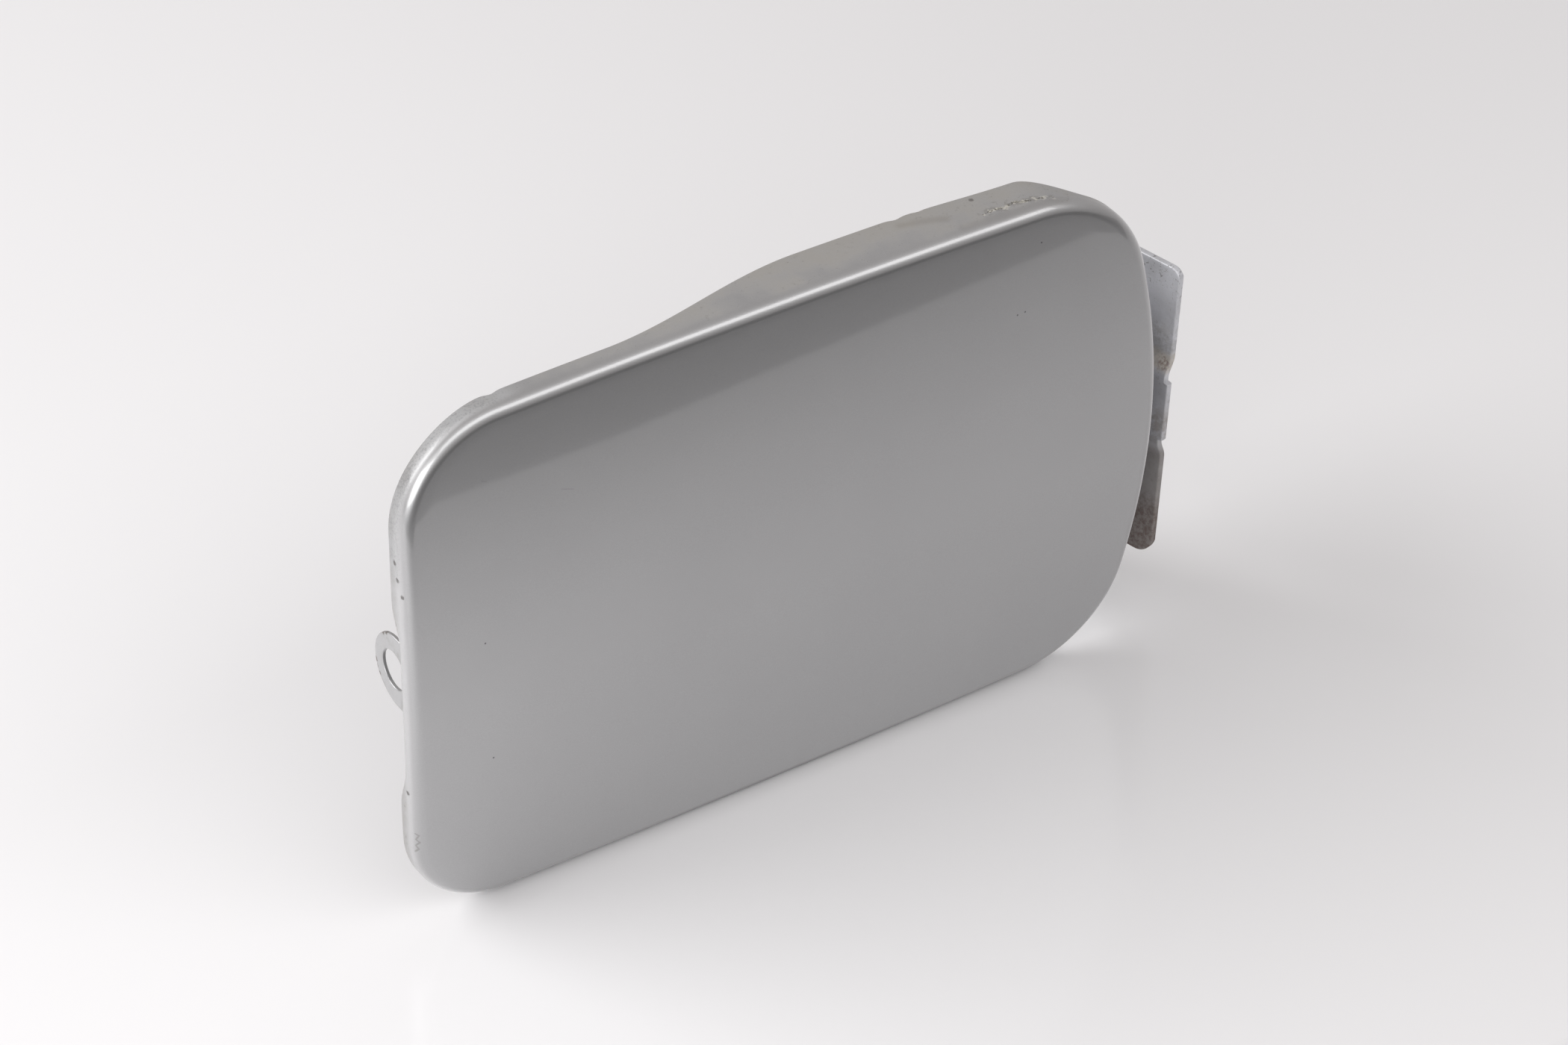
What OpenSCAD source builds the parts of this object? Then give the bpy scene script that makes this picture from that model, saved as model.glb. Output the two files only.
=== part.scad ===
// Fuel filler door of pressed steel: outer skin with a rolled edge and a return flange,
// gooseneck hinge arm, catch eye, and the hinge that carries it in the filler pocket.
// X runs along the door towards the hinge, Y runs into the car, Z is up.
// Nodes are drawn from the middle of the door's lower edge, in the plane of its rim, and then
// moved home, so that the origin is under the middle of the whole.

/* [Outer skin] */
// Width of the door over its side edges
door_w = 181; // [175:1:186]
// Height of the door at its middle
door_h = 122; // [118:1:126]
// Thickness of the skin
skin_t = 0.8; // [0.7:0.05:1]
// Gap under the sheets that are welded to the skin
weld_gap = 0.03; // [0.03:0.01:0.1]
// Outer radius of the rolled edge
roll_r = 2.8; // [2.2:0.1:3.2]
// How far the middle height of the face bulges forward
crown = 1.6; // [0.5:0.1:2]
// Radius of the bowed top edge
top_bow_r = 2500; // [1500:100:4000]
// Radius of the bowed bottom edge
bottom_bow_r = 2000; // [1500:100:4000]
// Radius of the bowed hinge-side edge
hinge_bow_r = 161; // [150:1:220]
// Corner radius, top, catch side
corner_top_catch = 23; // [18:1:26]
// Corner radius, bottom, catch side
corner_bottom_catch = 21; // [18:1:26]
// Corner radius, top, hinge side
corner_top_hinge = 29; // [24:1:32]
// Corner radius, bottom, hinge side
corner_bottom_hinge = 27; // [24:1:32]

/* [Return flange] */
// Depth of the top and bottom flange near the catch
flange_shallow = 5.5; // [5:0.1:6.5]
// Depth of the top and bottom flange near the hinge
flange_deep = 12.8; // [10:0.1:14]
// Where the flange starts to deepen
ramp_start_x = -41; // [-50:1:-30]
// Where the flange reaches its full depth
ramp_end_x = 7; // [0:1:20]
// Where the deep flange starts to narrow again
taper_start_x = 30; // [20:1:40]
// How much it narrows before the hinge-side corner
flange_taper = 1.2; // [0.5:0.1:2]
// Depth of the flange on the catch side
flange_catch = 4.6; // [4.2:0.1:5]
// Width of the flange behind the rolled edge where it is relieved beside the eye
flange_relief = 0.8; // [0.5:0.1:2]
// Height of the relieved stretch
relief_h = 41; // [36:1:50]
// How far the relieved stretch sits below the door's middle
relief_drop = 5; // [0:0.5:6]
// Length over which the flange runs into its relieved stretch
relief_run = 10; // [4:0.5:14]
// Depth of the flange on the hinge side
flange_hinge = 4.6; // [4.2:0.1:6]

/* [Hinge arm] */
// Thickness of the arm's sheet
arm_t = 1.5; // [1.2:0.1:1.8]
// Lowest edge of the arm
arm_low_z = 12; // [9:0.5:13]
// Height of the arm
arm_h = 76.4; // [74:0.2:80]
// Length of the pad that is welded to the skin
pad_l = 52; // [40:1:60]
// Distance from the door's hinge edge back to the riser
riser_inset = 14.5; // [14:0.5:16]
// How far the riser leans towards the hinge
riser_lean = 3; // [1:0.5:4]
// Depth of the gooseneck's bridge behind the rim
bridge_y = 34; // [32:0.5:36]
// Outer radius of the bends
bend_r = 4; // [3:0.5:5]
// Gap between the door's edge and the leg's outer face at its free edge
leg_gap = 10.2; // [9.5:0.1:11]
// Depth of the leg's free edge behind the rim, halfway up
leg_edge_y = 6.7; // [6:0.1:7.5]
// Angle that the leg flares outwards
leg_flare = 12.4; // [11:0.1:13]
// Lean of the leg's free edge
leg_edge_lean = 2; // [0:0.5:3]
// Radius of the leg's top corner
leg_top_r = 2.5; // [2:0.5:5]
// Radius of the leg's bottom corner
leg_bottom_r = 5; // [3:0.5:7]
// Height of the seat pressed into the leg
seat_h = 16.8; // [16.5:0.1:19]
// Height of the seat's middle above the arm's lowest edge
seat_rise = 40.6; // [37:0.2:41]
// Length of the slope at each end of the seat
seat_slope = 5; // [4:0.5:6]
// Length of the seat from the free edge
seat_l = 14; // [13:0.5:15]
// Length over which the seat runs out into the flat leg
seat_run = 4; // [3:0.5:5]
// How far the seat's free edge stands in front of the leg's
tab_l = 1; // [0.5:0.1:1.5]
// Distance of that stretch's ends from the seat's ends
tab_inset = 0.9; // [0.5:0.1:2]
// Height over which the edge steps out to it
tab_step = 0.3; // [0.2:0.1:0.6]

/* [Catch bracket] */
// Thickness of the bracket's sheet
catch_t = 0.8; // [0.6:0.1:1]
// Gap between the flange and the eye plate
catch_gap = 1.4; // [1:0.1:1.6]
// Outer radius of the eye
eye_r = 8.6; // [8:0.1:9]
// Radius of the hole
eye_hole_r = 4.4; // [3.5:0.1:4.6]
// Depth of the eye's centre behind the rim
eye_y = 7.7; // [6.8:0.1:8]
// How far the hole lies behind the eye's centre
eye_hole_back = 1.2; // [0.5:0.1:1.5]
// How far the eye sits below the door's middle
eye_drop = 0.4; // [0:0.1:2]
// Length of the foot that is welded to the skin
foot_l = 17; // [12:1:22]
// Bend radius between the eye and its foot
foot_r = 2; // [1.5:0.1:2.5]

/* [Hinge] */
// Radius of the hinge pin
pin_r = 2; // [1.8:0.1:2.2]
// Distance from the door's hinge edge out to the pin
pin_out = 13; // [13:0.1:13.4]
// Depth of the pin behind the rim
pin_y = 18; // [17.8:0.1:18.4]
// Running clearance around the pin
pin_clear = 0.05; // [0.03:0.01:0.08]
// Wall of the knuckle and of its strap
knuckle_t = 1.5; // [1.3:0.1:1.6]
// Gap at each side of the knuckle's strap in the seat
strap_side_gap = 0.7; // [0.5:0.1:1]
// Distance of the strap's edge from the leg's free edge
strap_edge = 2; // [1:0.5:3]
// Length of the strap that lies in the seat
strap_l = 4; // [3:0.5:5]
// Gap between the knuckle and each ear
ear_gap = 0.3; // [0.2:0.05:0.4]
// Thickness of the base's sheet
base_t = 1.5; // [1.2:0.1:1.8]
// Radius of the ears
ear_r = 4; // [3.8:0.1:4.2]
// Gap between the ears' round end and the base leaf
leaf_gap = 0.8; // [0.5:0.1:1]
// Angle at which the ears' necks leave their round ends
neck_angle = 37; // [30:1:45]
// Distance of the leaf's front edge behind the pin
leaf_front = 3; // [2:0.5:4]
// Length of the leaf between the ears' round ends and the screw flange
web_l = 9; // [8:0.5:11]
// Corner radius of the screw flange
leaf_r = 4; // [2:0.5:5]
// Height of the leaf's screw flange
leaf_h = 50; // [46:1:54]
// Length of the leaf behind the ears
leaf_l = 17; // [15:1:19]
// Radius of the screw holes
screw_r = 3.25; // [2.75:0.05:3.4]
// Distance between the screw holes
screw_pitch = 34; // [32:0.5:36]
// Radius of the pin's head
head_r = 3.4; // [3:0.1:3.8]
// Height of the pin's head
head_h = 1.4; // [1:0.1:1.8]
// Thickness of the retaining clip
clip_t = 0.8; // [0.6:0.1:1]
// Radius of the retaining clip
clip_r = 3.6; // [3.2:0.1:3.8]
// Length of the pin that stands out below the clip
pin_end = 1; // [0.5:0.1:2]
// Thickness of the check spring
spring_t = 0.5; // [0.4:0.05:0.6]
// Height of the check spring
spring_h = 11; // [9:0.5:13]
// Gap between the check spring and the knuckle
spring_gap = 0.1; // [0.05:0.05:0.2]
// Distance of the spring's end from the leaf's rear edge
spring_back = 4; // [3:0.5:5]
// Distance of the spring's first bend in front of the screw flange
spring_rise = 2; // [1:0.5:3]
// Bend radius of the spring
spring_r = 1.5; // [1:0.1:2]
// Length of the spring's turned-up tip
tip_l = 3; // [2:0.5:4]
// Height of the spring's turned-up tip
tip_h = 1.6; // [1:0.1:2]
// Radius of the rivet that holds the check spring
rivet_r = 1.6; // [1.2:0.1:1.8]
// Radius of the rivet's head
rivet_head_r = 2.7; // [2.4:0.1:3]
// Height of the rivet's head
rivet_head_h = 0.8; // [0.6:0.1:1]

/* [Hidden] */
$fn = 64;
silver = [0.62, 0.62, 0.63];
steel = [0.50, 0.50, 0.51];
eps = 0.02;
// Flat edges are arcs of this radius, so that every side is one kind of curve
flat_r = 9000;
mid_z = door_h / 2;
face_rings = [0.25, 0.5, 0.75];
roll_steps = 6;
// Points on each corner, and on the hinge side, the top, the catch side and the bottom. The bottom
// has few, so that the door stands on a flat stretch of its bowed edge
corner_n = 12;
side_n = [20, 32, 20, 8];

// Outline: four bowed sides joined by four corner arcs that are tangent to them

function circle_meet(c1, r1, c2, r2, near) =
    let (d = norm(c2 - c1), a = (r1 * r1 - r2 * r2 + d * d) / (2 * d),
         h = sqrt(max(r1 * r1 - a * a, 0)), u = (c2 - c1) / d, m = c1 + a * u,
         p = m + h * [-u[1], u[0]], q = m - h * [-u[1], u[0]])
    norm(p - near) < norm(q - near) ? p : q;
function heading(c, p) = let (a = atan2(p[1] - c[1], p[0] - c[0])) a < -eps ? a + 360 : a;

// Each side is its circle's centre and radius: hinge side, top, catch side, bottom
sides = [[[door_w / 2 - hinge_bow_r, mid_z], hinge_bow_r],
         [[0, door_h - top_bow_r], top_bow_r],
         [[flat_r - door_w / 2, mid_z], flat_r],
         [[0, bottom_bow_r], bottom_bow_r]];
corner_rs = [corner_top_hinge, corner_top_catch, corner_bottom_catch, corner_bottom_hinge];
corner_at = [[door_w, door_h], [-door_w, door_h], [-door_w, 0], [door_w, 0]];
corners = [for (k = [0:3]) let (s = sides[k], n = sides[(k + 1) % 4], r = corner_rs[k])
           circle_meet(s[0], s[1] - r, n[0], n[1] - r, corner_at[k])];

// Each arc is its centre, radius, start and end angle and number of points
function corner_arc(k) =
    let (a = heading(sides[k][0], corners[k]), b = heading(sides[(k + 1) % 4][0], corners[k]))
    [corners[k], corner_rs[k], a > 300 && k == 0 ? a - 360 : a, b < a && k > 0 ? b + 360 : b, corner_n];
function side_arc(k) =
    let (n = (k + 1) % 4, a = corner_arc(k)[3], b = heading(sides[n][0], corners[n]))
    [sides[n][0], sides[n][1], a, b < a ? b + 360 : b, side_n[n]];
arcs = [for (k = [0:3]) each [corner_arc(k), side_arc(k)]];
function outline(inset) =
    [for (a = arcs, k = [0:a[4] - 1]) let (t = a[2] + (a[3] - a[2]) * k / a[4])
     a[0] + (a[1] - inset) * [cos(t), sin(t)]];

// Height of the face and depth of the flange at a point of the door

function face_y(z) = -crown * (1 - pow((z - mid_z) / mid_z, 2));
function smooth(a, b, v) = let (t = max(0, min(1, (v - a) / (b - a)))) t * t * (3 - 2 * t);
function mix(a, b, w) = a + (b - a) * w;
// The long sides' depth changes to the short sides' over these spans of the corners
catch_corner_x = [door_w / 2 - corner_top_catch, door_w / 2 - 0.2 * corner_top_catch];
hinge_corner_x = [door_w / 2 - 1.09 * corner_top_hinge, door_w / 2 - 0.62 * corner_top_hinge];
function long_depth(x) =
    mix(flange_shallow, flange_deep, smooth(ramp_start_x, ramp_end_x, x))
    - flange_taper * smooth(taper_start_x, hinge_corner_x[0], x);
function catch_depth(z) =
    mix(face_y(z) + roll_r + flange_relief, flange_catch,
        smooth((relief_h - relief_run) / 2, (relief_h + relief_run) / 2, abs(z - mid_z + relief_drop)));
function flange_depth(p) =
    let (side = p[0] < 0 ? catch_depth(p[1]) : flange_hinge,
         span = p[0] < 0 ? catch_corner_x : hinge_corner_x)
    mix(long_depth(p[0]), side, smooth(span[0], span[1], abs(p[0])));

// Rings of points from the middle of the face, over the roll to the flange's edge and back inside

function ring(inset, rise) = [for (p = outline(inset)) [p[0], face_y(p[1]) + rise, p[1]]];
function face_ring(share, rise) =
    [for (p = outline(roll_r)) let (q = mix(p, [0, mid_z], share)) [q[0], face_y(q[1]) + rise, q[1]]];
function rim_ring(inset) = let (edge = outline(0), p = outline(inset))
    [for (k = [0:len(p) - 1]) [p[k][0], flange_depth(edge[k]), p[k][1]]];
function roll_ring(wall, a) =
    ring(wall + (roll_r - wall) * (1 - sin(a)), wall + (roll_r - wall) * (1 - cos(a)));
skin_rings = concat(
    [for (k = [len(face_rings) - 1:-1:0]) face_ring(face_rings[k], 0)],
    [for (k = [0:roll_steps]) roll_ring(0, 90 * k / roll_steps)],
    [rim_ring(0), rim_ring(skin_t)],
    [for (k = [roll_steps:-1:0]) roll_ring(skin_t, 90 * k / roll_steps)],
    [for (s = face_rings) face_ring(s, skin_t)]);

module lofted(rings, first, last) {
    n = len(rings[0]);
    m = len(rings);
    points = concat([first], [for (r = rings, p = r) p], [last]);
    faces = concat(
        [for (k = [0:n - 1]) [0, 1 + (k + 1) % n, 1 + k]],
        [for (j = [0:m - 2], k = [0:n - 1]) let (a = 1 + j * n, b = a + n, l = (k + 1) % n)
         each [[a + k, a + l, b + l], [a + k, b + l, b + k]]],
        [for (k = [0:n - 1]) let (a = 1 + (m - 1) * n) [a + k, a + (k + 1) % n, m * n + 1]]);
    polyhedron(points, faces, convexity = 6);
}

// Moves what is drawn from the door's lower edge to the middle of the whole
module at_home() {
    whole_x = leaf_x + base_t - door_w / 2;
    whole_y = flange_y + leaf_l - crown;
    translate([-whole_x / 2, -whole_y / 2, 0])
        children();
}

module outer_skin() {
    color(silver)
        at_home()
            lofted(skin_rings, [0, face_y(mid_z), mid_z], [0, face_y(mid_z) + skin_t, mid_z]);
}

// Bent sheet: a strip of even thickness along a path with rounded bends

function unit(v) = v / norm(v);
function left_of(v) = [-v[1], v[0]];
function turn(a, b) = let (d = b - a) d > 180 ? d - 360 : d < -180 ? d + 360 : d;
function bend(a, b, c, r) =
    let (u = unit(a - b), w = unit(c - b), half = acos(u * w) / 2, o = b + unit(u + w) * r / sin(half),
         p = b + u * r / tan(half), q = b + w * r / tan(half),
         start = atan2(p[1] - o[1], p[0] - o[0]), sweep = turn(start, atan2(q[1] - o[1], q[0] - o[0])))
    [for (k = [0:6]) o + r * [cos(start + sweep * k / 6), sin(start + sweep * k / 6)]];
// Takes one radius for all bends, or a list with one for each
function rounded(p, r) =
    concat([p[0]],
           [for (k = [1:len(p) - 2]) each bend(p[k - 1], p[k], p[k + 1], is_list(r) ? r[k - 1] : r)],
           [p[len(p) - 1]]);
function side_of(p, d) =
    [for (k = [0:len(p) - 1])
     let (s = left_of(unit(p[min(k + 1, len(p) - 1)] - p[min(k, len(p) - 2)])),
          t = left_of(unit(p[max(k, 1)] - p[max(k - 1, 0)])), m = unit(s + t))
     p[k] + m * d / (m * t)];
function reversed(p) = [for (k = [len(p) - 1:-1:0]) p[k]];
module strip(path, t) {
    polygon(concat(side_of(path, t / 2), reversed(side_of(path, -t / 2))));
}

// Hinge arm: one bent sheet. Its leg has its own frame: s runs back from the free edge, w across

leg_x = door_w / 2 + leg_gap;
leg_back = [-sin(leg_flare), cos(leg_flare)];
leg_out = [cos(leg_flare), sin(leg_flare)];
leg_l = (bridge_y - leg_edge_y) / cos(leg_flare);
seat_z = arm_low_z + seat_rise;
arm_top_z = arm_low_z + arm_h;
function on_leg(s, w) = [leg_x, leg_edge_y] + s * leg_back + w * leg_out;

// The line that the sheet follows, from the pad's end to the leg's free edge
riser_x = door_w / 2 - riser_inset;
pad_y = skin_t + weld_gap + arm_t / 2;
arm_line = rounded([[riser_x - pad_l, pad_y], [riser_x, pad_y], [riser_x + riser_lean, bridge_y],
                    on_leg(leg_l, -arm_t / 2), on_leg(0, -arm_t / 2)], bend_r - arm_t / 2);
// Heights of the points, from the seat's middle outwards: over the edge's step, up the slope, to the end
seat_half = seat_h / 2;
seat_end = seat_half + seat_slope;
tab_half = seat_half - tab_inset;
slope_rows = [for (k = [0:6]) seat_half + seat_slope * k / 6];
half_rows = concat([tab_half / 3], [for (side = [-1, 1]) tab_half + side * tab_step / 2], slope_rows);
plain_rows = 5;
arm_rows = concat([for (k = [0:plain_rows - 1]) mix(arm_low_z, seat_z - seat_end, k / plain_rows)],
                  [for (h = reversed(half_rows)) seat_z - h], [for (h = half_rows) seat_z + h],
                  [for (k = [1:plain_rows]) mix(seat_z + seat_end, arm_top_z, k / plain_rows)]);
// Distances of the leg's points from the free edge, close together around its corners
leg_corner_s = [for (a = [15:15:90]) leg_bottom_r * (1 - sin(a))];
leg_seat_s = [for (k = [0:4]) seat_l + seat_run * (1 - k / 4)];
leg_stations = concat(leg_seat_s, [(seat_l + leg_bottom_r) / 2, leg_bottom_r], leg_corner_s);

function rounding(r, s) = s < r ? r - sqrt(r * r - (r - s) * (r - s)) : 0;
function seat_depth(s, z) =
    arm_t * (1 - smooth(seat_l, seat_l + seat_run, s)) * (1 - smooth(seat_half, seat_end, abs(z - seat_z)));
function tab_at(z) =
    tab_l * (1 - smooth(tab_half - tab_step / 2, tab_half + tab_step / 2, abs(z - seat_z)));
function edge_shift(s, z) =
    tan(leg_edge_lean) * (arm_low_z + arm_h / 2 - z) * (1 - s / leg_l)
    - tab_at(z) * (1 - smooth(0, leg_bottom_r, s));
// Rows outside the seat close up where the free edge's corners are rounded
function closing(z, from, to) = max(0, (z - from) / (to - from));
function leg_z(s, z) =
    z + rounding(leg_bottom_r, s) * closing(z, seat_z - seat_end, arm_low_z)
    - rounding(leg_top_r, s) * closing(z, seat_z + seat_end, arm_top_z);

// One column of points for each place along the sheet, w = 0 on its outer side
function line_column(line, k) =
    let (follow = 1 - smooth(bend_r, bridge_y - bend_r, line[k][1]),
         on_pad = line[k][0] < riser_x + riser_lean)
    [for (z = arm_rows) [line[k][0], line[k][1] + (on_pad ? follow * face_y(z) : 0), z]];
function leg_column(s, w) =
    [for (row = arm_rows) let (z = leg_z(s, row), p = on_leg(s + edge_shift(s, z), w - seat_depth(s, z)))
     [p[0], p[1], z]];
function arm_side(line, w) =
    concat([for (k = [0:len(line) - 2]) line_column(line, k)], [for (s = leg_stations) leg_column(s, w)]);

// Closed sheet between two grids of points
module sheet_between(outer, inner) {
    n = len(outer);
    m = len(outer[0]);
    points = concat([for (c = outer, p = c) p], [for (c = inner, p = c) p]);
    function at(side, k, j) = side * n * m + k * m + j;
    function quad(a, b, c, d) = [[a, b, c], [a, c, d]];
    faces = concat(
        [for (k = [0:n - 2], j = [0:m - 2]) each concat(
            quad(at(0, k, j), at(0, k, j + 1), at(0, k + 1, j + 1), at(0, k + 1, j)),
            quad(at(1, k, j), at(1, k + 1, j), at(1, k + 1, j + 1), at(1, k, j + 1)))],
        [for (k = [0:n - 2]) each concat(
            quad(at(0, k, 0), at(0, k + 1, 0), at(1, k + 1, 0), at(1, k, 0)),
            quad(at(0, k + 1, m - 1), at(0, k, m - 1), at(1, k, m - 1), at(1, k + 1, m - 1)))],
        [for (j = [0:m - 2]) each concat(
            quad(at(0, 0, j + 1), at(0, 0, j), at(1, 0, j), at(1, 0, j + 1)),
            quad(at(0, n - 1, j), at(0, n - 1, j + 1), at(1, n - 1, j + 1), at(1, n - 1, j)))]);
    polyhedron(points, faces, convexity = 8);
}

module hinge_arm() {
    outer = arm_side(side_of(arm_line, arm_t / 2), 0);
    inner = arm_side(side_of(arm_line, -arm_t / 2), -arm_t);
    color(silver)
        at_home()
            sheet_between(outer, inner);
}

eye_x = -door_w / 2 + skin_t + catch_gap;
eye_z = mid_z - eye_drop;

module catch_bracket() {
    bend_x = eye_x + catch_t / 2;
    foot_y = face_y(eye_z - eye_r) + skin_t + weld_gap + catch_t / 2;
    line = [[eye_x + foot_l, foot_y], [bend_x, foot_y], [bend_x, eye_y]];
    color(silver)
        at_home()
            difference() {
                union() {
                    translate([0, 0, eye_z - eye_r])
                        linear_extrude(2 * eye_r)
                            strip(rounded(line, foot_r), catch_t);
                    translate([eye_x, eye_y, eye_z])
                        rotate([0, 90, 0])
                            rotate_extrude(angle = 180)
                                square([eye_r, catch_t]);
                }
                translate([eye_x - 1, eye_y + eye_hole_back, eye_z])
                    rotate([0, 90, 0])
                        cylinder(r = eye_hole_r, h = catch_t + 2);
            }
}

// Hinge: knuckle on the arm, and base, pin, clip and check spring that stay on the car

pin_x = door_w / 2 + pin_out;
knuckle_h = seat_h - 2 * strap_side_gap;
knuckle_bore_r = pin_r + pin_clear;
knuckle_r = knuckle_bore_r + knuckle_t;
knuckle_mid_r = knuckle_r - knuckle_t / 2;
ear_z = [seat_z - knuckle_h / 2 - ear_gap - base_t, seat_z + knuckle_h / 2 + ear_gap];
leaf_x = pin_x + ear_r + leaf_gap;
leaf_front_y = pin_y + leaf_front;
flange_y = pin_y + ear_r + web_l;
ear_end_y = flange_y - ear_r / 2;

module hinge_knuckle() {
    // The strap lies in the leg's seat
    foot = [for (s = [strap_edge, strap_edge + strap_l]) on_leg(s, knuckle_t / 2 - arm_t)];
    rise = [pin_x, pin_y] - foot[1];
    // The strap runs into the knuckle's ring along a line that grazes this radius
    graze_r = knuckle_mid_r - knuckle_t / 8;
    aim = atan2(rise[1], rise[0]) - asin(graze_r / norm(rise));
    touch = [pin_x, pin_y] + graze_r * [sin(aim), -cos(aim)];
    color(steel)
        at_home()
            translate([0, 0, seat_z - knuckle_h / 2])
                difference() {
                    union() {
                        translate([pin_x, pin_y, 0])
                            cylinder(r = knuckle_r, h = knuckle_h);
                        linear_extrude(knuckle_h)
                            strip(rounded([foot[0], foot[1], touch], knuckle_t), knuckle_t);
                    }
                    translate([pin_x, pin_y, -1])
                        cylinder(r = knuckle_bore_r, h = knuckle_h + 2);
                }
}

module ear() {
    neck_y = pin_y - ear_r * sin(neck_angle);
    linear_extrude(base_t)
        difference() {
            union() {
                translate([pin_x, pin_y])
                    circle(r = ear_r);
                polygon([[pin_x, neck_y], [pin_x + ear_r * cos(neck_angle), neck_y],
                         [leaf_x, leaf_front_y], [leaf_x + base_t, leaf_front_y],
                         [leaf_x + base_t, ear_end_y], [leaf_x, ear_end_y],
                         [pin_x, pin_y + ear_r]]);
            }
            translate([pin_x, pin_y])
                circle(r = pin_r);
        }
}

module hinge_base() {
    color(steel)
        at_home()
            union() {
                for (z = ear_z)
                    translate([0, 0, z])
                        ear();
                translate([leaf_x, leaf_front_y, ear_z[0]])
                    cube([base_t, flange_y + leaf_r - leaf_front_y, ear_z[1] + base_t - ear_z[0]]);
                difference() {
                    translate([leaf_x, flange_y, seat_z - leaf_h / 2])
                        rounded_leaf(leaf_l, leaf_h, leaf_r);
                    for (side = [-1, 1])
                        translate([leaf_x - 1, flange_y + leaf_l / 2, seat_z + side * screw_pitch / 2])
                            rotate([0, 90, 0])
                                cylinder(r = screw_r, h = base_t + 2);
                    spring_hole();
                }
            }
}

module rounded_leaf(l, h, r) {
    rotate([90, 0, 90])
        linear_extrude(base_t)
            union() {
                translate([r, 0])
                    square([l - 2 * r, h]);
                translate([0, r])
                    square([l, h - 2 * r]);
                for (x = [r, l - r], y = [r, h - r])
                    translate([x, y])
                        circle(r = r);
            }
}

module spring_hole() {
    translate([leaf_x - 1, flange_y + leaf_l / 2, seat_z])
        rotate([0, 90, 0])
            cylinder(r = rivet_r, h = base_t + 2);
}

module hinge_pin() {
    low = ear_z[0] - clip_t - pin_end;
    high = ear_z[1] + base_t;
    color(steel)
        at_home()
            translate([pin_x, pin_y, 0])
                union() {
                    translate([0, 0, low])
                        cylinder(r = pin_r, h = high - low + eps);
                    translate([0, 0, high])
                        cylinder(r = head_r, h = head_h);
                }
}

module pin_clip() {
    color(steel)
        at_home()
            translate([pin_x, pin_y, ear_z[0] - clip_t])
                difference() {
                    cylinder(r = clip_r, h = clip_t);
                    translate([0, 0, -1])
                        cylinder(r = pin_r, h = clip_t + 2);
                }
}

module check_spring() {
    // The spring touches the knuckle a little on the leaf's side of the pin
    tip = [pin_x + knuckle_r / 5, pin_y + knuckle_r + spring_gap + spring_t / 2];
    lie_x = leaf_x - spring_t / 2;
    path = [[lie_x, flange_y + leaf_l - spring_back], [lie_x, flange_y - spring_rise], tip,
            tip + [-tip_l, tip_h]];
    color(steel)
        at_home()
            difference() {
                translate([0, 0, seat_z - spring_h / 2])
                    linear_extrude(spring_h)
                        strip(rounded(path, spring_r), spring_t);
                spring_hole();
            }
}

module spring_rivet() {
    color(steel)
        at_home()
            translate([leaf_x, flange_y + leaf_l / 2, seat_z])
                rotate([0, 90, 0])
                    union() {
                        translate([0, 0, -spring_t - rivet_head_h])
                            cylinder(r = rivet_head_r, h = rivet_head_h);
                        translate([0, 0, -spring_t - eps])
                            cylinder(r = rivet_r, h = spring_t + base_t + eps);
                    }
}

outer_skin();
hinge_arm();
catch_bracket();
hinge_knuckle();
hinge_base();
hinge_pin();
pin_clip();
check_spring();
spring_rivet();
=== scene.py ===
import math

import bmesh
import bpy
import numpy as np
from mathutils import Matrix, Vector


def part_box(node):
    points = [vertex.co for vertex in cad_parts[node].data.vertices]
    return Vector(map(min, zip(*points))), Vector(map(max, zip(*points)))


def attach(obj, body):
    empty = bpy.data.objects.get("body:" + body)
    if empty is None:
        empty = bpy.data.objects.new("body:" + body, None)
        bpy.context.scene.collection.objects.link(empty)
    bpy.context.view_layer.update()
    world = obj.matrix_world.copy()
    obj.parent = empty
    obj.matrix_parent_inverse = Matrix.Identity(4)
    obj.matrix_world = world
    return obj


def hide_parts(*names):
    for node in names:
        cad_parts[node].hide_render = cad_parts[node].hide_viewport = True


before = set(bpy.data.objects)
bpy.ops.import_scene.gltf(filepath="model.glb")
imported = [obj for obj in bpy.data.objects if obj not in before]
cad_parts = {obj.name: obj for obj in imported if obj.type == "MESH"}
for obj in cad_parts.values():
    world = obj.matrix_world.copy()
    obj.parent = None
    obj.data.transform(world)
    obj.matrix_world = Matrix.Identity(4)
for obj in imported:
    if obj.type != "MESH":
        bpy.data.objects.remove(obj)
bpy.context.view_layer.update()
print("frame loaded:", ", ".join(sorted(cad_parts)))

mm = 0.001


# Shader expressions

class Value:
    # A socket with Python's operators, so that node maths reads as a formula
    def __init__(self, finish, socket):
        self.finish = finish
        self.socket = socket

    def __add__(self, other):
        return self.finish.maths("ADD", self, other)

    def __sub__(self, other):
        return self.finish.maths("SUBTRACT", self, other)

    def __mul__(self, other):
        return self.finish.maths("MULTIPLY", self, other)

    def __rsub__(self, other):
        return self.finish.maths("SUBTRACT", other, self)

    __radd__ = __add__
    __rmul__ = __mul__


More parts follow.
